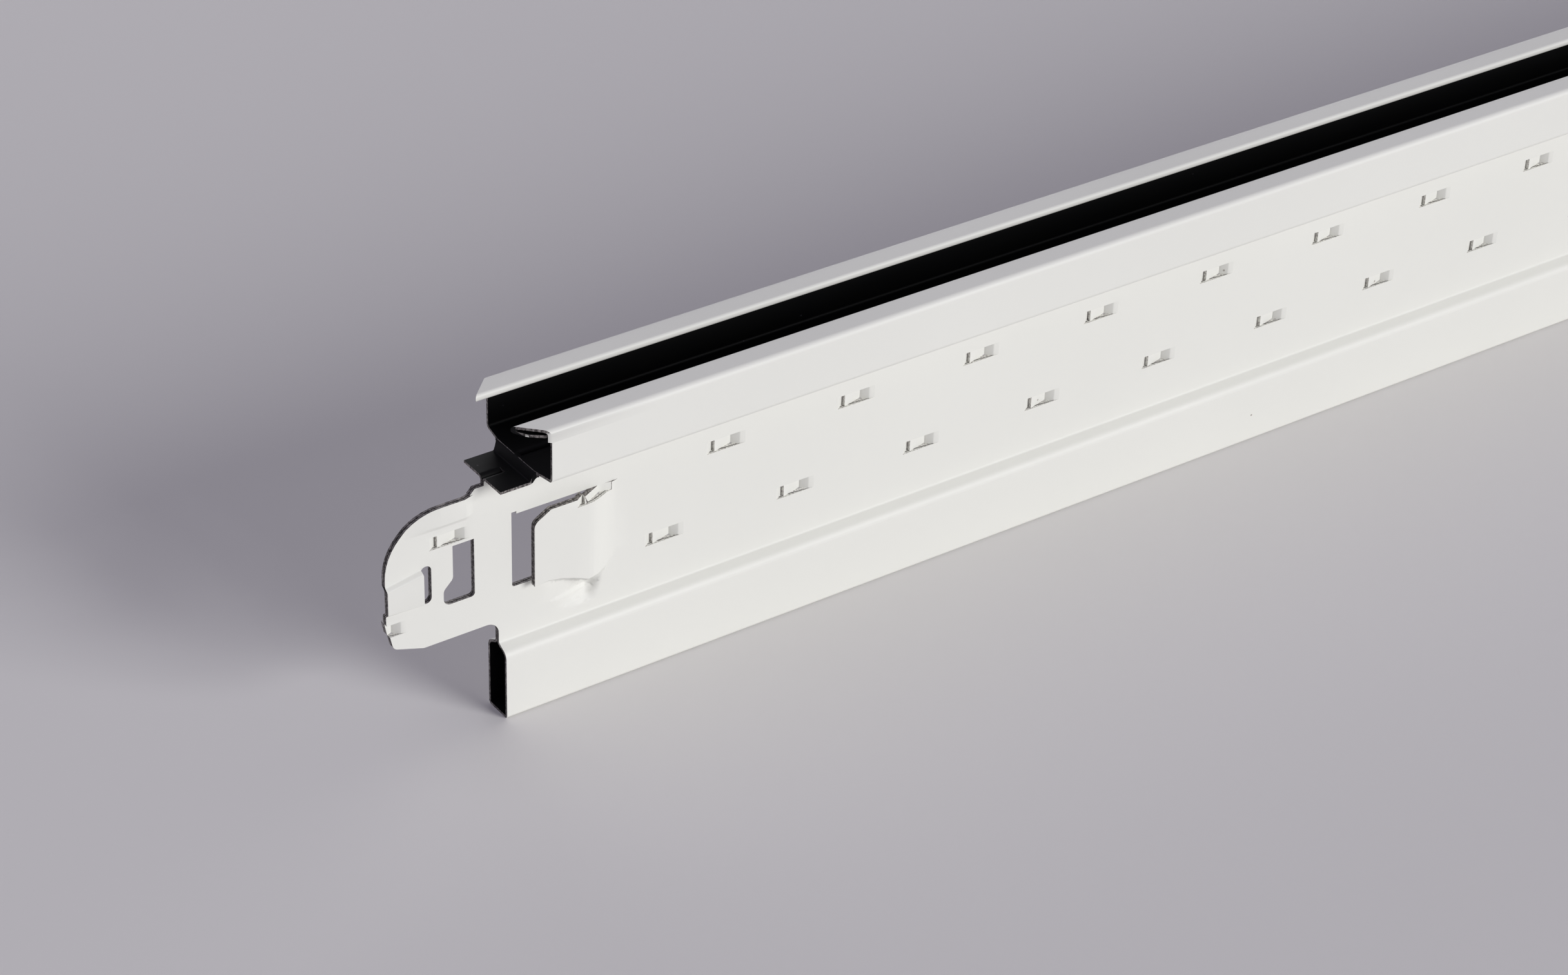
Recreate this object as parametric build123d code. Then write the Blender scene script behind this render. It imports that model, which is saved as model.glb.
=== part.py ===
from build123d import *
import os

# Slotted cross tee of a suspended ceiling, roll formed from one strip of painted steel.
# It stands on its bulb with the slotted face up. X runs along the tee, Y across it and Z up,
# and the origin is under the middle of the bulb.

# Strip and grid, in millimetres
module_length = 600.0     # between the centre lines of the main tees that carry the two ends
sheet = 0.35              # thickness of the painted strip
seam = 0.1                # between the two sheets that make the web
bend = 0.4                # inside radius of the bends

# Section
tee_height = 44.0
flange_width = 15.0
wall_height = 7.5         # from the lips down to the underside of the channel's floor
slot_width = 7.9          # between the two hemmed lips
hem_gap = 0.2             # inside the fold of a hem
hem_reach = 3.0           # how far a hem is folded back under its lip
hem_swell = 0.35          # how far the folded edge bellies into the channel
hem_flat = 0.01           # half of the flat left at the nose of a hem
bulb_width = 4.3
bulb_height = 10.6
bulb_round = 0.5          # outside radius of the bulb's lower corners
shoulder_drop = 0.9       # fall of the bulb's shoulder from the web to its side
shoulder_round = 1.2      # outside radius of the shoulder
bulb_lead = 3.4           # how far the bulb runs past the walls

# Tongue: the floor of the channel, carried past the walls on a step
floor_lead = 0.45         # floor past the walls, before the step
joggle = 1.45             # depth of the step
step_lean = 0.6           # how far the step leans out
step_bend = 0.2           # inside radius of the step
tongue_length = 5.2
tongue_width = 8.4
tongue_fillet = 0.8       # where the tongue's sides meet the floor's end

# End clip in the web: outline, with lengths measured outwards from the end of the walls
clip_reach = 19.05
clip_lift = 3.25          # lower edge above the bulb
clip_step = 0.75          # upper edge below the fold of the tongue
clip_root = 1.3           # run of the step beyond the tongue
clip_root_slope = 0.7
nose_chamfer = 4.85       # upper corner of the nose
nose_round = 7.5
chin_rise = 5.4           # height of the nose's slanting lower end
chin_lean = 0.9
chin_run = 4.2            # slanting lower corner of the nose
chin_drop = 1.35
chin_round = 1.0
throat_round = 1.7        # between the clip and the bulb

# Cut-outs in the clip, with heights measured from the clip's lower edge
hook_out = 6.7            # hook slot: its inner side
hook_width = 3.0
hook_low = 5.05
hook_height = 8.3
hook_toe = 1.35
hook_toe_height = 2.9
hook_round = 0.5
toe_round = 0.95
slit_out = 12.7           # spring slit beside the detent: its inner side
slit_width = 1.5
slit_low = 6.35
slit_height = 5.4
window_out = 1.42         # window beside the stop flap: its outer side
window_width = 2.35
window_low = 4.35
window_height = 10.5
window_round = 0.35
relief_width = 0.7        # relief notch at the window's upper corner
relief_height = 0.35

# Pressed forms in the clip
flap_length = 12.9        # stop flap, from the window to where it dies away
flap_plateau = 7.7        # part of the flap that stands out in full
flap_rise = 1.5
flap_wall = 1.3           # height of the wall under the flap
flap_free = 2.0           # part of the flap's lower edge that is cut free
flap_crest = 0.45         # rise of the wall's top along that part
flap_sag = 2.05           # fall of the wall along the plateau
flap_turn = 2.6           # how far it turns up again at the hinge
flap_slant_run = 2.4      # slanting upper corner of the flap
flap_slant_drop = 1.4
flap_round = 1.2
valley_slope = 0.5        # pressed valley under the flap
valley_depth = 0.3
detent_rise_nose = 0.6
detent_rise_slit = 0.9
detent_slope = 0.65       # height of the detent's sloping sides
detent_taper = 1.0        # how much lower its upper side is at the nose
rim_band = 2.5            # stiffening rim along the clip's upper edge
rim_slope = 0.8
rim_rise = 0.45
rim_start = 6.7
rim_length = 9.3
rim_ramp = 1.4
rim_fade = 4.5            # longer ramp at the nose

# Stitches that lock the two sheets of the web, in two staggered rows
stitch_pitch = 20.0
row_stagger = 9.1         # lower row, ahead of the upper one
stitch_length = 5.8
stitch_height = 1.8
nib_length = 1.25         # short first tab of a stitch
nib_depth = 0.8
tab_start = 0.2           # depth of the long tab, from beside the nib to its deep end
stitch_depth = 0.9
stitch_ramp = 1.7
stitch_inset = 6.1        # first stitch of the upper row, from the tip of the clip
upper_row = 8.0           # below the floor of the channel
lower_row = 7.4           # above the bulb

# Worked out from the sizes above
half_web = seam / 2 + sheet
half_flange = flange_width / 2
half_slot = slot_width / 2
outer_bend = bend + sheet
hem_nose = 2 * sheet + hem_gap
hem_round = sheet + hem_gap / 2 - hem_flat
hem_depth = hem_nose + hem_swell
floor_under = tee_height - wall_height
floor_top = floor_under + sheet
tongue_top = floor_top - joggle
fold_depth = 2 * bend
fold_low = floor_under - joggle - fold_depth
half_tongue = tongue_width / 2
half_root = half_tongue + tongue_fillet
half_floor = half_flange - outer_bend
step_out = floor_lead + step_lean + sheet + step_bend
wall_length = module_length - flange_width
overall_length = wall_length + 2 * clip_reach
clip_low = bulb_height + clip_lift
clip_top = fold_low - clip_step
window_bottom = clip_low + window_low
window_top = window_bottom + window_height
flap_edge = window_width - window_out
flap_hinge = flap_edge + flap_length
beyond = 2.0              # how far a cutting tool runs past what it cuts


def section():
    """Whole section of the strip: hem, lip, wall, floor, web and bulb, with the black side inside."""
    right = [
        ((bulb_width / 2, 0), bulb_round),
        ((bulb_width / 2, bulb_height - shoulder_drop), shoulder_round),
        ((half_web, bulb_height), bend),
        ((half_web, floor_under), bend),
        ((half_flange, floor_under), outer_bend),
        ((half_flange, tee_height), outer_bend),
        ((half_slot, tee_height), hem_round),
        ((half_slot, tee_height - hem_nose), hem_round),
        ((half_slot + hem_reach / 2, tee_height - hem_depth), hem_reach / 2),
        ((half_slot + hem_reach, tee_height - hem_depth + hem_swell / 2), 0),
    ]
    points = [point for point, radius in right]
    radii = [radius for point, radius in right[:-1]]
    mirrored = [(-across, up) for across, up in reversed(points)]
    outside = FilletPolyline(*mirrored, *points, radius=radii[::-1] + radii)
    return make_face(outside.offset_2d(sheet, side=Side.LEFT))


def rounded(corners):
    """Face of a closed outline, given as corners that each have a radius."""
    points = [point for point, radius in corners]
    radii = [radius for point, radius in corners]
    return make_face(FilletPolyline(*points, radius=radii, close=True))


def side_prism(sketch, reach=flange_width):
    """Solid of an outline drawn in side view, running right across the tee."""
    return extrude(Plane.XZ * sketch, amount=reach, both=True)


def plan_prism(points, low, high):
    """Solid of an outline drawn in plan, between two heights."""
    return extrude(Plane.XY.offset(low) * make_face(Polyline(*points, close=True)), amount=high - low)


def box_between(x_range, z_range, half_width=flange_width):
    """Block between two lengths and two heights, the same on both sides of the web."""
    x_low, x_high = x_range
    z_low, z_high = z_range
    block = Box(x_high - x_low, 2 * half_width, z_high - z_low)
    return Pos((x_low + x_high) / 2, 0, (z_low + z_high) / 2) * block


def clip_outline():
    """Side view of the clip that stays in the web past the bulb."""
    root = -tongue_length - clip_root
    nose = -clip_reach
    return rounded([
        ((-bulb_lead, fold_low), 0),
        ((root, fold_low), 0),
        ((root - clip_root_slope, clip_top), 0),
        ((nose + nose_chamfer, clip_top), nose_round),
        ((nose, clip_top - nose_chamfer), nose_round),
        ((nose, clip_low + chin_rise), chin_round),
        ((nose + chin_lean, clip_low + chin_drop), chin_round),
        ((nose + chin_lean + chin_run, clip_low), chin_round),
        ((-bulb_lead, clip_low), 0),
    ])


def throat():
    """Web that rounds the corner between the clip and the end of the bulb."""
    middle = Pos(-bulb_lead - throat_round / 2, clip_low - throat_round / 2)
    centre = Pos(-bulb_lead - throat_round, clip_low - throat_round)
    return middle * Rectangle(throat_round, throat_round) - centre * Circle(throat_round)


def end_waste():
    """What is cut from the full section past the walls: lips, floor and fold."""
    far = -clip_reach - stitch_length - beyond
    side = half_flange + beyond
    lip = half_flange - half_slot
    mitre = [
        (far, -side), (0, -side), (0, -half_flange), (-lip, -half_slot),
        (-lip, half_slot), (0, half_flange), (0, side), (far, side),
    ]
    floor_end = [
        (far, -side), (0, -side), (0, -half_floor), (-floor_lead, -half_tongue),
        (-floor_lead, half_tongue), (0, half_floor), (0, side), (far, side),
    ]
    hem_under = tee_height - hem_depth - bend
    tongue_under = floor_under - joggle
    lips = plan_prism(mitre, hem_under, tee_height + beyond)
    channel = plan_prism(floor_end, floor_under, hem_under)
    step = box_between((far, -floor_lead), (tongue_under, floor_under))
    fold = box_between((far, -step_out), (fold_low, tongue_under))
    return [lips, channel, step, fold]


def web_waste():
    """What is cut from the web and the bulb to leave the clip."""
    far = -clip_reach - stitch_length - beyond
    middle = Pos((far - bulb_lead) / 2, (fold_low - beyond) / 2)
    past_bulb = middle * Rectangle(-bulb_lead - far, fold_low + beyond)
    return side_prism(past_bulb - clip_outline() - throat())


def tongue():
    """Stepped tongue, folded from the tops of the two web sheets."""
    crop_height = floor_top - floor_under + fold_depth
    crop = Pos(0, floor_top - crop_height / 2) * Rectangle(2 * half_root, crop_height)
    folds = Plane.YZ.offset(-tongue_length) * (Pos(0, -joggle) * (section() & crop))
    run = extrude(folds, amount=tongue_length - step_out)
    path = FilletPolyline(
        (outer_bend - floor_lead, floor_top),
        (-floor_lead, floor_top),
        (-floor_lead - step_lean, tongue_top),
        (-step_out - outer_bend, tongue_top),
        radius=[step_bend + sheet, step_bend],
    )
    step = side_prism(make_face(path.offset_2d(sheet, side=Side.LEFT)), half_root)
    plan = rounded([
        ((-tongue_length, -half_tongue), 0),
        ((-floor_lead, -half_tongue), tongue_fillet),
        ((0, -half_floor), 0),
        ((0, half_floor), 0),
        ((-floor_lead, half_tongue), tongue_fillet),
        ((-tongue_length, half_tongue), 0),
    ])
    return (run + step) & extrude(plan, amount=tee_height)


def pressed(stations):
    """Both sheets of the web pressed out of line, lofted through sections at given lengths.

    A station is a length and a list of heights, each with how far the web stands out there.
    """
    solids = []
    for inner in (-half_web, seam / 2):
        faces = []
        for along, heights in stations:
            near = [(inner - rise, up) for up, rise in heights]
            far = [(inner + sheet - rise, up) for up, rise in reversed(heights)]
            faces.append(Plane.YZ.offset(along) * make_face(Polyline(*near, *far, close=True)))
        solids.append(loft(faces, ruled=True))
    return solids


def footprint(stations):
    """Stretch of the web that a pressed form takes the place of."""
    lower = [(along, heights[0][0]) for along, heights in stations]
    upper = [(along, heights[-1][0]) for along, heights in reversed(stations)]
    return side_prism(make_face(Polyline(*lower, *upper, close=True)), half_web + beyond)


def eased(share):
    """Share that starts and ends gently."""
    return share * share * (3 - 2 * share)


def ramp(start, end, first, last, spans=3):
    """Places from start to end with a value that eases from first to last, in a number of spans."""
    places = []
    for step in range(spans + 1):
        share = step / spans
        places.append((start + share * (end - start), first + eased(share) * (last - first)))
    return places


def flap_lift(along):
    """How far the stop flap stands out of the web at a length from the end of the walls."""
    share = (flap_hinge - along) / (flap_length - flap_plateau)
    return flap_rise * eased(min(share, 1))


def flap_stations():
    """Stop flap: it stands out at the window and dies away at its hinge, over a valley."""
    free = flap_free / flap_length
    plateau = flap_plateau / flap_length
    valley_shares = [(0, 0), (free, 0), (0.3, 0.5), (0.45, 0.85), (plateau, 1), (0.67, 1), (0.74, 0)]
    valley_shares += [(0.86, 0), (1, 0)]
    stations = []
    for share, valley in valley_shares:
        inward = share * flap_length
        along = flap_edge + inward
        rise = flap_lift(along)
        dip = -valley_depth * valley
        crest = window_bottom + flap_crest * min(inward / flap_free, 1)
        crest -= flap_sag * min(inward / flap_plateau, 1) ** 2
        crest += flap_turn * (max(inward - flap_plateau, 0) / (flap_length - flap_plateau)) ** 4
        wall = ramp(crest - flap_wall, crest, dip, rise, spans=4)
        stations.append((along, [(clip_low, 0), (clip_low + valley_slope, dip), *wall, (window_top, rise)]))
    return stations


def stop_flap():
    """Sheets of the stop flap, with its lower corner cut free from the web, which stays flat there."""
    free_range = (flap_edge, flap_edge + flap_free)
    below = (clip_low, window_bottom)
    flat = box_between(free_range, below, half_web) - box_between(free_range, below, seam / 2)
    return [flat, *[solid - box_between(free_range, below) for solid in pressed(flap_stations())]]


def detent_stations():
    """Detent that snaps behind the main tee's slot: deepest at the slit, shallow at the nose."""
    low = clip_low + slit_low
    ends = [(-clip_reach, detent_rise_nose, detent_taper), (-slit_out - slit_width, detent_rise_slit, 0)]
    stations = []
    for along, rise, taper in ends:
        high = low + slit_height - taper
        heights = ramp(low, low + detent_slope, 0, rise) + ramp(high - detent_slope, high, rise, 0)
        stations.append((along, heights))
    return stations


def rim_stations():
    """Stiffening rim under the clip's upper edge."""
    foot = clip_top - rim_band - rim_slope
    outer = -rim_start - rim_length
    inner = -rim_start
    lengths = ramp(outer, outer + rim_fade, 0, rim_rise, spans=2)
    lengths += ramp(inner - rim_ramp, inner, rim_rise, 0, spans=2)
    return [(along, ramp(foot, foot + rim_slope, 0, rise) + [(clip_top, rise)]) for along, rise in lengths]


def hook_slot():
    """Boot-shaped slot of the clip."""
    inner = -hook_out
    neck = inner - hook_width
    toe = neck - hook_toe
    low = clip_low + hook_low
    return rounded([
        ((inner, low), hook_round),
        ((inner, low + hook_height), 0),
        ((neck, low + hook_height), 0),
        ((neck, low + hook_toe_height + hook_toe / 2), toe_round),
        ((toe, low + hook_toe_height - hook_toe / 2), toe_round),
        ((toe, low), toe_round),
    ])


def spring_slit():
    """Slit that frees the inner edge of the detent."""
    centre = Pos(-slit_out - slit_width / 2, clip_low + slit_low + slit_height / 2)
    return centre * Rot(0, 0, 90) * SlotOverall(slit_height, slit_width)


def window():
    """Window that frees the end of the stop flap and slants its corner, with a relief at its own."""
    slant = window_top - flap_slant_drop
    opening = rounded([
        ((-window_out, window_bottom), window_round),
        ((flap_edge, window_bottom), 0),
        ((flap_edge, slant), flap_round),
        ((flap_edge + flap_slant_run, window_top), 0),
        ((-window_out, window_top), window_round),
    ])
    relief = Rectangle(relief_width, 2 * relief_height)
    return opening + Pos(-window_out + relief_width / 2, window_top) * relief


def stitch(start, low, high, lift=None):
    """Pair of solids for a stitch: what stands out at the back, and the hollow in front.

    It is a short nib and a longer tab, sheared above and below and pushed through. The lift is
    how far the web it is in stands out there.
    """
    profile = [
        (0, 0),
        (nib_length, nib_depth),
        (nib_length, tab_start),
        (stitch_length - stitch_ramp, stitch_depth),
        (stitch_length, 0),
    ]
    points = [(start + along, depth - (lift(start + along) if lift else 0)) for along, depth in profile]
    front = [(along, across - half_web) for along, across in points]
    back = [(along, across + half_web) for along, across in points]
    clear = -half_web - flap_rise - sheet
    bump = plan_prism([*back, *reversed(front)], low, high)
    hollow = plan_prism([*front, (start + stitch_length, clear), (start, clear)], low, high)
    return bump, hollow


def stitch_places():
    """Start, lower side and upper side of every stitch, none where a window and flap are punched."""
    places = []
    first = stitch_inset - overall_length / 2
    rows = [(first, floor_under - upper_row), (first - row_stagger, bulb_height + lower_row)]
    for start, middle in rows:
        while start < overall_length / 2 - nib_length:
            inward = wall_length / 2 - abs(start + stitch_length / 2)
            punched = -window_out < inward + stitch_length / 2 and inward - stitch_length / 2 < flap_hinge
            if not punched:
                places.append((start, middle - stitch_height / 2, middle + stitch_height / 2))
            start += stitch_pitch
    return places


def flap_stitch():
    """Stitch of the upper row that the stop flap carries out with it."""
    start = stitch_inset + stitch_pitch - clip_reach
    return stitch(start, floor_under - upper_row - stitch_height / 2, window_top, flap_lift)


def cross_tee():
    """The finished tee: full section, stitched, then cut and pressed at both ends."""
    tee = extrude(Plane.YZ * section(), amount=overall_length / 2, both=True)
    stitches = [stitch(*place) for place in stitch_places()]
    tee += [bump for bump, hollow in stitches]
    tee -= [hollow for bump, hollow in stitches]
    forms = [flap_stations(), detent_stations(), rim_stations()]
    waste = end_waste() + [footprint(stations) for stations in forms]
    bump, hollow = flap_stitch()
    added = [tongue(), *stop_flap(), bump, *pressed(detent_stations()), *pressed(rim_stations())]
    holes = [side_prism(sketch) for sketch in (hook_slot(), spring_slit(), window())]
    holes += [web_waste(), hollow]
    ends = [Pos(-wall_length / 2, 0, 0), Pos(wall_length / 2, 0, 0) * Rot(0, 0, 180)]
    for end in ends:
        tee -= [end * tool for tool in waste]
        tee += [end * piece for piece in added]
        tee -= [end * hole for hole in holes]
    return tee


os.makedirs("parts", exist_ok=True)
export_step(cross_tee(), "parts/cross_tee.step")
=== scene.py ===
import math

import bmesh
import bpy
from bpy.props import FloatProperty, FloatVectorProperty, PointerProperty
from mathutils import Matrix, Vector
from mathutils.bvhtree import BVHTree


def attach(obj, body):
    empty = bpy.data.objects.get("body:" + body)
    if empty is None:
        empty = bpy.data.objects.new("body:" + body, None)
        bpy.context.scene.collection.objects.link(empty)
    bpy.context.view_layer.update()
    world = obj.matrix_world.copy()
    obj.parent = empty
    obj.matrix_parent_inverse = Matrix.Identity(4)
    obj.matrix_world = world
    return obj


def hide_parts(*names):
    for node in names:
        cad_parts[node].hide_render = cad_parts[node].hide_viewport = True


bl_info = {
    "name": "Slotted cross tee",
    "version": (1, 0, 0),
    "blender": (4, 5, 0),
    "location": "3D View > Sidebar > Cross tee",
    "description": "Finishes a folded ceiling tee in its coats and sets up its picture",
    "category": "Object",
}

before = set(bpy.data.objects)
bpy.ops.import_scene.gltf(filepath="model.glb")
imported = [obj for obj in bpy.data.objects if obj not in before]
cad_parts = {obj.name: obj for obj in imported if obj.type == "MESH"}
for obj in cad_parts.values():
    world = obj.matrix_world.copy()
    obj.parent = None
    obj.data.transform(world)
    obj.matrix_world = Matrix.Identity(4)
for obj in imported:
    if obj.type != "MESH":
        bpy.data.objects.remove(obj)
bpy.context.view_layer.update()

MM = 0.001
# Rays start this far off their face, and points about this close count as one.
HAIR = 0.001 * MM
# Places of the finishes in the strip's list of materials.
WHITE, BLACK, EDGE, STITCH = 0, 1, 2, 3


def linear(hex_colour):
    """Linear colour of an sRGB hex value."""
    channels = [int(hex_colour[place:place + 2], 16) / 255 for place in (0, 2, 4)]
    return [c / 12.92 if c <= 0.04045 else ((c + 0.055) / 1.055) ** 2.4 for c in channels]


def rgba(colour):
    """Colour with full alpha, for a node's socket."""
    return (*colour, 1.0)


def per_metre(size_mm):
    """Texture scale that gives a pattern features of this size."""
    return 1000.0 / size_mm


def add_node(tree, kind, settings=None, inputs=None):
    """Adds a node, sets its properties and fills its inputs with values or links."""
    node = tree.nodes.new(kind)
    for name, value in (settings or {}).items():
        setattr(node, name, value)
    for name, value in (inputs or {}).items():
        if isinstance(value, bpy.types.NodeSocket):
            tree.links.new(value, node.inputs[name])
        else:
            node.inputs[name].default_value = value
    return node


def new_material(name):
    """Empty node material with an output, and its object coordinates."""
    material = bpy.data.materials.new(name)
    material.use_nodes = True
    tree = material.node_tree
    tree.nodes.clear()
    place = add_node(tree, "ShaderNodeTexCoord").outputs["Object"]
    return material, tree, place


def specks(tree, place, spacing_mm, reach, share):
    """Mask of small scattered specks: 1 on a speck, 0 elsewhere."""
    cells = add_node(tree, "ShaderNodeTexVoronoi", {"feature": "F1"},
                     {"Vector": place, "Scale": per_metre(spacing_mm)})
    near = add_node(tree, "ShaderNodeMapRange", {"interpolation_type": "SMOOTHSTEP"},
                    {"Value": cells.outputs["Distance"], "From Min": reach, "From Max": reach * 0.5})
    chosen = add_node(tree, "ShaderNodeMath", {"operation": "LESS_THAN"},
                      {0: cells.outputs["Color"], 1: share})
    return add_node(tree, "ShaderNodeMath", {"operation": "MULTIPLY"},
                    {0: near.outputs["Result"], 1: chosen.outputs["Value"]}).outputs["Value"]


def white_coat(colours):
    """Coil-coated white polyester: even satin white with a faint orange peel and a little dust."""
    material, tree, place = new_material("coil_coated_white_polyester")
    # Rolls leave the coat very slightly uneven over a few centimetres.
    drift = add_node(tree, "ShaderNodeTexNoise", None,
                     {"Vector": place, "Scale": per_metre(35), "Detail": 3.0})
    tone = add_node(tree, "ShaderNodeMix", {"data_type": "RGBA"},
                    {0: drift.outputs["Fac"], 6: rgba(colours.white), 7: rgba(colours.white_shade)})
    dust = specks(tree, place, spacing_mm=3.5, reach=0.06, share=0.3)
    dusty = add_node(tree, "ShaderNodeMix", {"data_type": "RGBA"},
                     {0: dust, 6: tone.outputs[2], 7: rgba(colours.dust)})
    sheen = add_node(tree, "ShaderNodeMapRange", None,
                     {"Value": drift.outputs["Fac"], "To Min": 0.46, "To Max": 0.58})
    # Orange peel of a roller coat is about a millimetre across.
    peel = add_node(tree, "ShaderNodeTexNoise", None,
                    {"Vector": place, "Scale": per_metre(1.1), "Detail": 2.0})
    bump = add_node(tree, "ShaderNodeBump", None,
                    {"Height": peel.outputs["Fac"], "Strength": 0.12, "Distance": 0.05 * MM})
    coat = add_node(tree, "ShaderNodeBsdfPrincipled", None,
                    {"Base Color": dusty.outputs[2], "Roughness": sheen.outputs["Result"],
                     "Normal": bump.outputs["Normal"], "IOR": 1.45})
    add_node(tree, "ShaderNodeOutputMaterial", None, {"Surface": coat.outputs["BSDF"]})
    return material


def black_coat(colours):
    """Coil-coated black back paint: deep satin black with fine pale dust."""
    material, tree, place = new_material("coil_coated_black_back_paint")
    dust = specks(tree, place, spacing_mm=2.2, reach=0.07, share=0.25)
    tone = add_node(tree, "ShaderNodeMix", {"data_type": "RGBA"},
                    {0: dust, 6: rgba(colours.black), 7: rgba(colours.black_dust)})
    streaks = add_node(tree, "ShaderNodeMapping", None, {"Vector": place, "Scale": (0.08, 1.0, 1.0)})
    rolled = add_node(tree, "ShaderNodeTexNoise", None,
                      {"Vector": streaks.outputs["Vector"], "Scale": per_metre(1.5), "Detail": 3.0})
    sheen = add_node(tree, "ShaderNodeMapRange", None,
                     {"Value": rolled.outputs["Fac"], "To Min": 0.45, "To Max": 0.6})
    bump = add_node(tree, "ShaderNodeBump", None,
                    {"Height": rolled.outputs["Fac"], "Strength": 0.15, "Distance": 0.04 * MM})
    coat = add_node(tree, "ShaderNodeBsdfPrincipled", None,
                    {"Base Color": tone.outputs[2], "Roughness": sheen.outputs["Result"],
                     "Normal": bump.outputs["Normal"], "IOR": 1.28})
    add_node(tree, "ShaderNodeOutputMaterial", None, {"Surface": coat.outputs["BSDF"]})
    return material


def cut_edge(colours):
    """Sheared steel edge: dull grey metal, torn into a fine grain by the punch."""
    material, tree, place = new_material("sheared_steel_edge")
    grain = add_node(tree, "ShaderNodeTexNoise", None,
                     {"Vector": place, "Scale": per_metre(0.35), "Detail": 4.0, "Roughness": 0.7})
    torn = add_node(tree, "ShaderNodeMapRange", {"interpolation_type": "SMOOTHSTEP"},
                    {"Value": grain.outputs["Fac"], "From Min": 0.4, "From Max": 0.65})
    tone = add_node(tree, "ShaderNodeMix", {"data_type": "RGBA"},
                    {0: torn.outputs["Result"], 6: rgba(colours.edge), 7: rgba(colours.edge_bright)})
    bump = add_node(tree, "ShaderNodeBump", None,
                    {"Height": grain.outputs["Fac"], "Strength": 0.4, "Distance": 0.06 * MM})
    steel = add_node(tree, "ShaderNodeBsdfPrincipled", None,
                     {"Base Color": tone.outputs[2], "Roughness": 0.5, "Metallic": 0.5,
                      "Normal": bump.outputs["Normal"]})
    add_node(tree, "ShaderNodeOutputMaterial", None, {"Surface": steel.outputs["BSDF"]})
    return material


def stitch_side(colours):
    """Sheared side of a stitch: steel with the white coat dragged over it in torn flecks."""
    material, tree, place = new_material("sheared_steel_with_dragged_coat")
    grain = add_node(tree, "ShaderNodeTexNoise", None,
                     {"Vector": place, "Scale": per_metre(0.3), "Detail": 3.0, "Roughness": 0.6})
    dragged = add_node(tree, "ShaderNodeMapRange", {"interpolation_type": "SMOOTHSTEP"},
                       {"Value": grain.outputs["Fac"], "From Min": 0.35, "From Max": 0.6})
    tone = add_node(tree, "ShaderNodeMix", {"data_type": "RGBA"},
                    {0: dragged.outputs["Result"], 6: rgba(colours.edge_bright), 7: rgba(colours.white)})
    bump = add_node(tree, "ShaderNodeBump", None,
                    {"Height": grain.outputs["Fac"], "Strength": 0.3, "Distance": 0.05 * MM})
    side = add_node(tree, "ShaderNodeBsdfPrincipled", None,
                    {"Base Color": tone.outputs[2], "Roughness": 0.6, "Normal": bump.outputs["Normal"]})
    add_node(tree, "ShaderNodeOutputMaterial", None, {"Surface": side.outputs["BSDF"]})
    return material


def floor_paper(colours):
    """Matt studio paper: pale grey with no gloss to speak of."""
    material, tree, place = new_material("matt_studio_paper")
    fibre = add_node(tree, "ShaderNodeTexNoise", None,
                     {"Vector": place, "Scale": per_metre(1.5), "Detail": 3.0})
    bump = add_node(tree, "ShaderNodeBump", None,
                    {"Height": fibre.outputs["Fac"], "Strength": 0.05, "Distance": 0.05 * MM})
    paper = add_node(tree, "ShaderNodeBsdfPrincipled", None,
                     {"Base Color": rgba(colours.floor), "Roughness": 0.85, "IOR": 1.35,
                      "Normal": bump.outputs["Normal"]})
    add_node(tree, "ShaderNodeOutputMaterial", None, {"Surface": paper.outputs["BSDF"]})
    return material


def outlook(skin, face):
    """Area of a face that looks sideways out of the tee, below zero if something is in its way."""
    least_sideways = 0.4
    if abs(face.normal.y) < least_sideways:
        return 0.0
    side = Vector((0.0, math.copysign(1.0, face.normal.y), 0.0))
    start = face.calc_center_median() + face.normal * HAIR
    blocked = skin.ray_cast(start, side)[0] is not None
    return -face.calc_area() if blocked else face.calc_area()


def painted_patch(first, sharpest):
    """Painted faces that run on from one face over bends, up to the cut edges."""
    patch = {first}
    reached = [first]
    while reached:
        face = reached.pop()
        for edge in face.edges:
            for beside in edge.link_faces:
                smooth = face.normal.angle(beside.normal, math.pi) < sharpest
                if smooth and beside.material_index == BLACK and beside not in patch:
                    patch.add(beside)
                    reached.append(beside)
    return patch


def in_stitch(face, middle, sizes):
    """Whether a face is one of the sheared sides of a stitch."""
    square = 0.99
    inner_share = 0.4
    close = 0.03 * MM
    clear = 0.01 * MM
    row = min((sizes.upper_row, sizes.lower_row), key=lambda height: abs(middle.z - height))
    above = middle.z - row
    if abs(face.normal.x) > square:
        return abs(above) < sizes.stitch_height * inner_share
    on_side = abs(face.normal.z) > square and abs(abs(above) - sizes.stitch_height / 2) < close
    looks_in = above * face.normal.z < 0
    stands_out = abs(middle.y) > sizes.half_web + clear
    return on_side and (looks_in or stands_out)


def sort_coats(strip, sizes):
    """Gives each face its finish.

    The sides of the stitches have their own. Of the rest, a face with metal close behind it is
    painted, and any other is a cut edge, apart from the top of the tongue's step, which is backed
    by the fold. A painted patch that mostly looks out of the tee has the white coat, and the
    others have the black coat of the inside.
    """
    least_upward = 0.3
    skin = BVHTree.FromBMesh(strip)
    for face in strip.faces:
        middle = face.calc_center_median()
        behind = skin.ray_cast(middle - face.normal * HAIR, -face.normal, sizes.thickest)[0]
        on_step = face.normal.z > least_upward and middle.z > sizes.step_low
        if in_stitch(face, middle, sizes):
            face.material_index = STITCH
        elif behind is None and not on_step:
            face.material_index = EDGE
        else:
            face.material_index = BLACK
    sorted_faces = set()
    for face in strip.faces:
        if face.material_index == BLACK and face not in sorted_faces:
            patch = painted_patch(face, sizes.sharpest)
            sorted_faces |= patch
            if sum(outlook(skin, part) for part in patch) > 0:
                for part in patch:
                    part.material_index = WHITE


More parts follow.
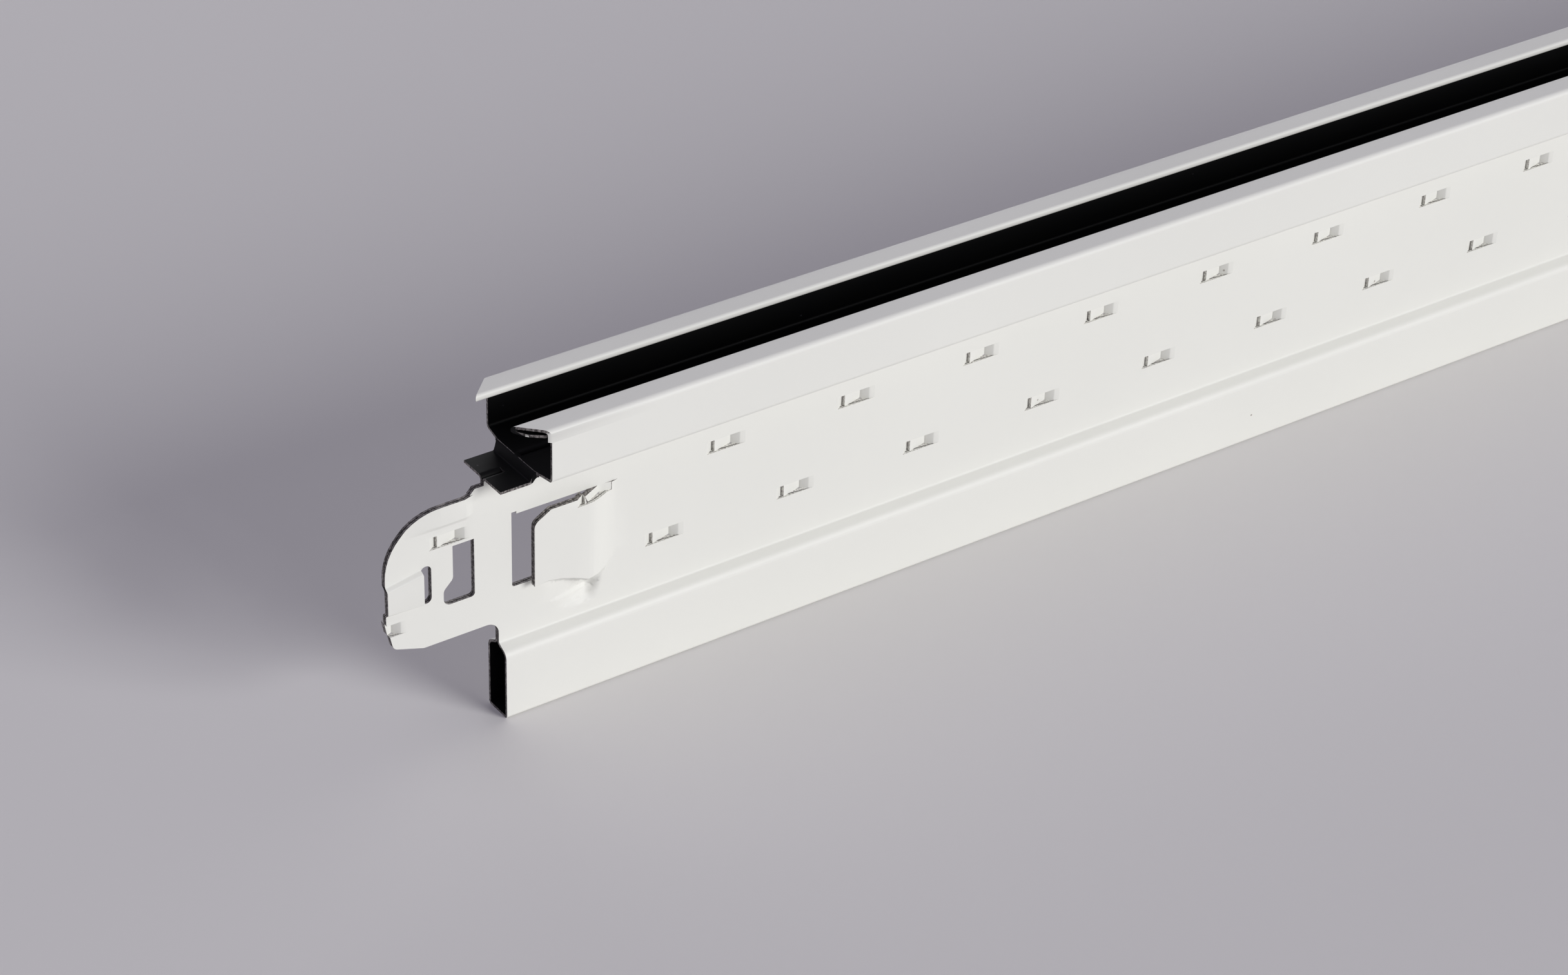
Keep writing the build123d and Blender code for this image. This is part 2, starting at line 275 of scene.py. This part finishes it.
def ease_ramps(strip, sizes):
    """Hollows the ramps that lead out of the stitches, so that they start steep and end gently."""
    slope = math.atan2(sizes.stitch_depth, sizes.ramp_length)
    most_upward = 0.01
    hollow = 2.5
    ramps = [face for face in strip.faces
             if abs(math.atan2(-face.normal.x, -face.normal.y) - slope) < math.radians(1)
             and abs(face.normal.z) < most_upward]
    for vert in {vert for face in ramps for vert in face.verts}:
        share = (vert.co.y + sizes.half_web) / sizes.stitch_depth
        if 0 < share < 1:
            vert.co.y = sizes.stitch_depth * share ** hollow - sizes.half_web


def eased(share):
    """Smooth rise from 0 to 1, held at both ends."""
    share = min(max(share, 0.0), 1.0)
    return share * share * (3 - 2 * share)


def slice_faces(strip, faces, axis, places):
    """Cuts faces square to an axis at places along it, and gives back what they became."""
    parts = list(dict.fromkeys(part for face in faces for part in (face, *face.verts, *face.edges)))
    for place in places:
        parts = bmesh.ops.bisect_plane(strip, geom=parts, dist=HAIR, plane_co=axis * place,
                                       plane_no=axis)["geom"]
    return [part for part in parts if isinstance(part, bmesh.types.BMFace)]


def press_pocket(strip, sizes, turn):
    """Presses the pocket that ends the valley under a stop flap into both sheets of the web.

    The pocket deepens along the valley and ends in a steep, leaning wall. The turn is 1 at the
    pictured end, and -1 at the far end, which is the same end turned half round.
    """
    run, wall, lean, half = sizes.pocket_run, sizes.pocket_wall, sizes.pocket_lean, sizes.pocket_half
    # Distance between the cuts that give the pocket its points.
    pitch = 0.35 * MM
    smoothing_rounds = 4
    least_sideways = 0.3
    low = sizes.pocket_middle - half
    start = sizes.pocket_foot - run - lean * half
    width = run + wall + 2 * lean * half
    rows = [low + step * pitch for step in range(math.ceil(2 * half / pitch) + 1)]
    columns = [start + step * pitch for step in range(math.ceil(width / pitch) + 1)]
    web = [face for face in strip.faces
           if abs(face.normal.y) > least_sideways
           and max(turn * vert.co.x for vert in face.verts) > columns[0]
           and min(turn * vert.co.x for vert in face.verts) < columns[-1]
           and max(vert.co.z for vert in face.verts) > rows[0]
           and min(vert.co.z for vert in face.verts) < rows[-1]]
    web = slice_faces(strip, web, Vector((turn, 0.0, 0.0)), columns)
    web = [face for face in web if columns[0] < turn * face.calc_center_median().x < columns[-1]]
    slice_faces(strip, web, Vector((0.0, 0.0, 1.0)), rows)
    pressed = []
    for vert in strip.verts:
        height = (vert.co.z - sizes.pocket_middle) / half
        past_foot = turn * vert.co.x - sizes.pocket_foot - lean * (vert.co.z - sizes.pocket_middle)
        if abs(height) < 1 and -run < past_foot < wall:
            share = eased(1 + past_foot / run) if past_foot < 0 else eased(1 - past_foot / wall)
            vert.co.y += turn * sizes.pocket_depth * share * (1 - height ** 2) ** 2
            pressed.append(vert)
    for _ in range(smoothing_rounds):
        bmesh.ops.smooth_vert(strip, verts=pressed, factor=0.5, use_axis_y=True)


def leaves_web(edge, sizes):
    """Whether an edge is where a stitch leaves the flat of the web, clear of the clips."""
    flat = 0.9999
    row_reach = sizes.stitch_height * 0.55
    middle = (edge.verts[0].co + edge.verts[1].co) / 2
    off_row = min(abs(middle.z - sizes.upper_row), abs(middle.z - sizes.lower_row))
    in_row = off_row < row_reach and abs(middle.x) < sizes.plain_web
    return in_row and [abs(face.normal.y) > flat for face in edge.link_faces].count(True) == 1


def soften_bends(strip, sizes):
    """Marks the bends that shade softly, and cuts lines that part flats from bends and clips."""
    slice_faces(strip, strip.faces, Vector((1.0, 0.0, 0.0)), (-sizes.plain_web, sizes.plain_web))
    slice_faces(strip, strip.faces, Vector((0.0, 0.0, 1.0)),
                (sizes.below_lips, sizes.above_shoulder, sizes.below_shoulder))
    marks = strip.verts.layers.deform.verify()
    gap = 0.05 * MM
    for vert in strip.verts:
        on_lip = vert.co.z > sizes.below_lips + gap
        on_shoulder = sizes.below_shoulder + gap < vert.co.z < sizes.above_shoulder - gap
        if on_lip or on_shoulder:
            vert[marks][0] = 1.0


class TeeSizes(bpy.types.PropertyGroup):
    """Sizes that the finish goes by."""
    thickest: FloatProperty(
        name="Thickest wall", description="Metal thicker than this behind a face makes it a cut edge",
        default=0.95 * MM, unit="LENGTH", precision=5)
    crease: FloatProperty(
        name="Crease angle", description="Sharper edges than this stay sharp in the shading",
        default=math.radians(50), subtype="ANGLE")
    sharpest: FloatProperty(
        name="Sharpest bend", description="A coat runs on over bends up to this and stops at sharper edges",
        default=math.radians(75), subtype="ANGLE")
    step_low: FloatProperty(
        name="Step", description="Height above which the tongue's step lies", default=34.6 * MM,
        unit="LENGTH", precision=5)
    below_lips: FloatProperty(
        name="Below the lips", description="Height where the soft bend of the lips ends", default=42.3 * MM,
        unit="LENGTH", precision=5)
    above_shoulder: FloatProperty(
        name="Above the shoulder", description="Height where the soft bend of the shoulder starts",
        default=11.9 * MM, unit="LENGTH", precision=5)
    below_shoulder: FloatProperty(
        name="Below the shoulder", description="Height where the soft bend of the shoulder ends",
        default=7.8 * MM, unit="LENGTH", precision=5)
    upper_row: FloatProperty(
        name="Upper row", description="Height of the upper row of stitches", default=28.5 * MM,
        unit="LENGTH", precision=5)
    lower_row: FloatProperty(
        name="Lower row", description="Height of the lower row of stitches", default=18.0 * MM,
        unit="LENGTH", precision=5)
    stitch_height: FloatProperty(
        name="Stitch height", description="Height of one stitch", default=1.8 * MM,
        unit="LENGTH", precision=5)
    plain_web: FloatProperty(
        name="Plain web", description="Half the length of web between the stop flaps", default=277.0 * MM,
        unit="LENGTH", precision=5)
    half_web: FloatProperty(
        name="Half web", description="Half the thickness of the doubled web", default=0.4 * MM,
        unit="LENGTH", precision=5)
    stitch_depth: FloatProperty(
        name="Stitch depth", description="Depth of a stitch at its deep end", default=0.9 * MM,
        unit="LENGTH", precision=5)
    pocket_foot: FloatProperty(
        name="Pocket foot", description="Place along the tee where the pocket past the valley is deepest",
        default=-282.55 * MM, unit="LENGTH", precision=5)
    pocket_middle: FloatProperty(
        name="Pocket middle", description="Height of the middle of the pocket", default=14.0 * MM,
        unit="LENGTH", precision=5)
    pocket_half: FloatProperty(
        name="Pocket half height", description="Half the height of the pocket", default=2.2 * MM,
        unit="LENGTH", precision=5)
    pocket_depth: FloatProperty(
        name="Pocket depth", description="How far the pocket is pressed in past the valley",
        default=0.9 * MM, unit="LENGTH", precision=5)
    pocket_run: FloatProperty(
        name="Pocket run", description="Length over which the pocket deepens along the valley",
        default=5.0 * MM, unit="LENGTH", precision=5)
    pocket_wall: FloatProperty(
        name="Pocket wall", description="Length of the steep wall that ends the pocket", default=1.15 * MM,
        unit="LENGTH", precision=5)
    pocket_lean: FloatProperty(
        name="Pocket lean", description="How far the wall leans along the tee for its height", default=0.4)
    ramp_length: FloatProperty(
        name="Ramp length", description="Length of the ramp that leads out of a stitch", default=1.7 * MM,
        unit="LENGTH", precision=5)


class TeeColours(bpy.types.PropertyGroup):
    """Colours of the coats, the steel and the stage."""
    white: FloatVectorProperty(
        name="White coat", description="Outside of the strip", subtype="COLOR", default=linear("E8E8E2"))
    white_shade: FloatVectorProperty(
        name="White coat, darker", description="Outside of the strip where the coat is thinner",
        subtype="COLOR", default=linear("E3E3DD"))
    dust: FloatVectorProperty(
        name="Dust", description="Specks on the white coat", subtype="COLOR", default=linear("A8A29A"))
    black: FloatVectorProperty(
        name="Black coat", description="Inside of the strip", subtype="COLOR", default=linear("050506"))
    black_dust: FloatVectorProperty(
        name="Dust on black", description="Specks on the black coat", subtype="COLOR",
        default=linear("3A3A3E"))
    edge: FloatVectorProperty(
        name="Cut edge", description="Sheared steel", subtype="COLOR", default=linear("433F3E"))
    edge_bright: FloatVectorProperty(
        name="Cut edge, bright", description="Torn grains of the sheared steel",
        subtype="COLOR", default=linear("A8A3A0"))
    floor: FloatVectorProperty(
        name="Floor", description="Studio paper", subtype="COLOR", default=linear("E2E0DF"))
    air: FloatVectorProperty(
        name="Air", description="Light from all around", subtype="COLOR", default=linear("D8D5E3"))


class TeeStage(bpy.types.PropertyGroup):
    """Where the camera stands, and what is around the tee."""
    camera_place: FloatVectorProperty(
        name="Camera place", description="Where the camera stands", subtype="TRANSLATION",
        default=(-0.495315, -0.333439, 0.286202))
    azimuth: FloatProperty(
        name="Azimuth", description="Turn of the view from +Y towards +X", subtype="ANGLE",
        default=math.radians(35.992))
    elevation: FloatProperty(
        name="Elevation", description="How far the view looks down", subtype="ANGLE",
        default=math.radians(33.03))
    roll: FloatProperty(
        name="Roll", description="Turn of the picture about the view", subtype="ANGLE",
        default=math.radians(-2.0))
    lens: FloatProperty(
        name="Lens", description="Focal length for the width of the sensor", default=88.554,
        subtype="DISTANCE_CAMERA")
    sensor: FloatProperty(
        name="Sensor", description="Width of the camera's sensor", default=36.0, subtype="DISTANCE_CAMERA")
    floor_half: FloatProperty(
        name="Half floor", description="Half the width of the floor", default=4.0, unit="LENGTH")
    air_strength: FloatProperty(
        name="Air strength", description="Strength of the light from all around", default=0.28)


class TEE_OT_strip(bpy.types.Operator):
    """Make the folded strip from the solid and give it its coats"""
    bl_idname = "tee.strip"
    bl_label = "Folded strip"

    def execute(self, context):
        sizes = context.scene.tee_sizes
        colours = context.scene.tee_colours
        strip = bmesh.new()
        strip.from_mesh(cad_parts["cross_tee"].data)
        bmesh.ops.remove_doubles(strip, verts=strip.verts, dist=2 * HAIR)
        bmesh.ops.dissolve_degenerate(strip, edges=strip.edges, dist=HAIR)
        strip.normal_update()
        sort_coats(strip, sizes)
        ease_ramps(strip, sizes)
        for turn in (1, -1):
            press_pocket(strip, sizes, turn)
        soften_bends(strip, sizes)
        strip.normal_update()
        for face in strip.faces:
            face.smooth = True
        for edge in strip.edges:
            gentle = edge.is_manifold and edge.calc_face_angle() < sizes.crease
            edge.smooth = gentle and not leaves_web(edge, sizes)
        mesh = bpy.data.meshes.new("folded_strip")
        strip.to_mesh(mesh)
        strip.free()
        for finish in (white_coat, black_coat, cut_edge, stitch_side):
            mesh.materials.append(finish(colours))
        piece = bpy.data.objects.new("folded_strip", mesh)
        piece.vertex_groups.new(name="soft_bends")
        context.scene.collection.objects.link(piece)
        flats = piece.modifiers.new("Flat faces stay flat", "WEIGHTED_NORMAL")
        flats.keep_sharp = True
        flats.weight = 90
        flats.vertex_group = "soft_bends"
        flats.invert_vertex_group = True
        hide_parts("cross_tee")
        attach(piece, "root")
        return {"FINISHED"}


class TEE_OT_stage(bpy.types.Operator):
    """Set up the floor, the studio light and the camera"""
    bl_idname = "tee.stage"
    bl_label = "Stage"

    def execute(self, context):
        scene = context.scene
        stage = scene.tee_stage
        ground = bmesh.new()
        bmesh.ops.create_grid(ground, x_segments=1, y_segments=1, size=stage.floor_half)
        mesh = bpy.data.meshes.new("studio_floor")
        ground.to_mesh(mesh)
        ground.free()
        mesh.materials.append(floor_paper(scene.tee_colours))
        floor = bpy.data.objects.new("studio_floor", mesh)
        scene.collection.objects.link(floor)

        world = bpy.data.worlds.new("studio_air")
        scene.world = world
        world.use_nodes = True
        air = world.node_tree.nodes["Background"]
        air.inputs["Color"].default_value = rgba(scene.tee_colours.air)
        air.inputs["Strength"].default_value = stage.air_strength

        for name, place, strength, softness, colour in (
            ("key_light", (0.5, -1.05, 0.42), 2.33, 28, "FFFFFF"),
            ("top_light", (-0.45, 0.2, 0.87), 0.42, 60, "E6E2F8"),
            ("back_light", (0.6, 0.85, 0.06), 0.9, 40, "FFFFFF"),
        ):
            lamp = bpy.data.lights.new(name, "SUN")
            lamp.energy = strength
            lamp.angle = math.radians(softness)
            lamp.color = linear(colour)
            light = bpy.data.objects.new(name, lamp)
            light.location = place
            light.rotation_euler = (-Vector(place)).to_track_quat("-Z", "Y").to_euler()
            scene.collection.objects.link(light)

        forward = Vector((
            math.sin(stage.azimuth) * math.cos(stage.elevation),
            math.cos(stage.azimuth) * math.cos(stage.elevation),
            -math.sin(stage.elevation),
        ))
        level = Vector((math.cos(stage.azimuth), -math.sin(stage.azimuth), 0.0))
        below = forward.cross(level)
        right = level * math.cos(stage.roll) + below * math.sin(stage.roll)
        down = below * math.cos(stage.roll) - level * math.sin(stage.roll)
        lens = bpy.data.cameras.new("photo_camera")
        lens.sensor_fit = "HORIZONTAL"
        lens.sensor_width = stage.sensor
        lens.lens = stage.lens
        lens.clip_start = 0.01
        camera = bpy.data.objects.new("photo_camera", lens)
        turn = Matrix((right, -down, -forward)).transposed().to_4x4()
        camera.matrix_world = Matrix.Translation(stage.camera_place) @ turn
        scene.collection.objects.link(camera)
        scene.camera = camera
        scene.view_settings.view_transform = "Standard"
        return {"FINISHED"}


class TEE_PT_panel(bpy.types.Panel):
    """Sizes, colours and steps of the tee"""
    bl_idname = "TEE_PT_panel"
    bl_label = "Cross tee"
    bl_space_type = "VIEW_3D"
    bl_region_type = "UI"
    bl_category = "Cross tee"

    def draw(self, context):
        layout = self.layout
        for group in (context.scene.tee_sizes, context.scene.tee_colours, context.scene.tee_stage):
            box = layout.box()
            for name in group.__annotations__:
                box.prop(group, name)
        layout.operator(TEE_OT_strip.bl_idname)
        layout.operator(TEE_OT_stage.bl_idname)


CLASSES = (TeeSizes, TeeColours, TeeStage, TEE_OT_strip, TEE_OT_stage, TEE_PT_panel)


def register():
    for cls in CLASSES:
        bpy.utils.register_class(cls)
    bpy.types.Scene.tee_sizes = PointerProperty(type=TeeSizes)
    bpy.types.Scene.tee_colours = PointerProperty(type=TeeColours)
    bpy.types.Scene.tee_stage = PointerProperty(type=TeeStage)


def unregister():
    del bpy.types.Scene.tee_stage
    del bpy.types.Scene.tee_colours
    del bpy.types.Scene.tee_sizes
    for cls in reversed(CLASSES):
        bpy.utils.unregister_class(cls)


def main():
    register()
    bpy.ops.tee.strip()
    bpy.ops.tee.stage()


if __name__ == "__main__":
    main()
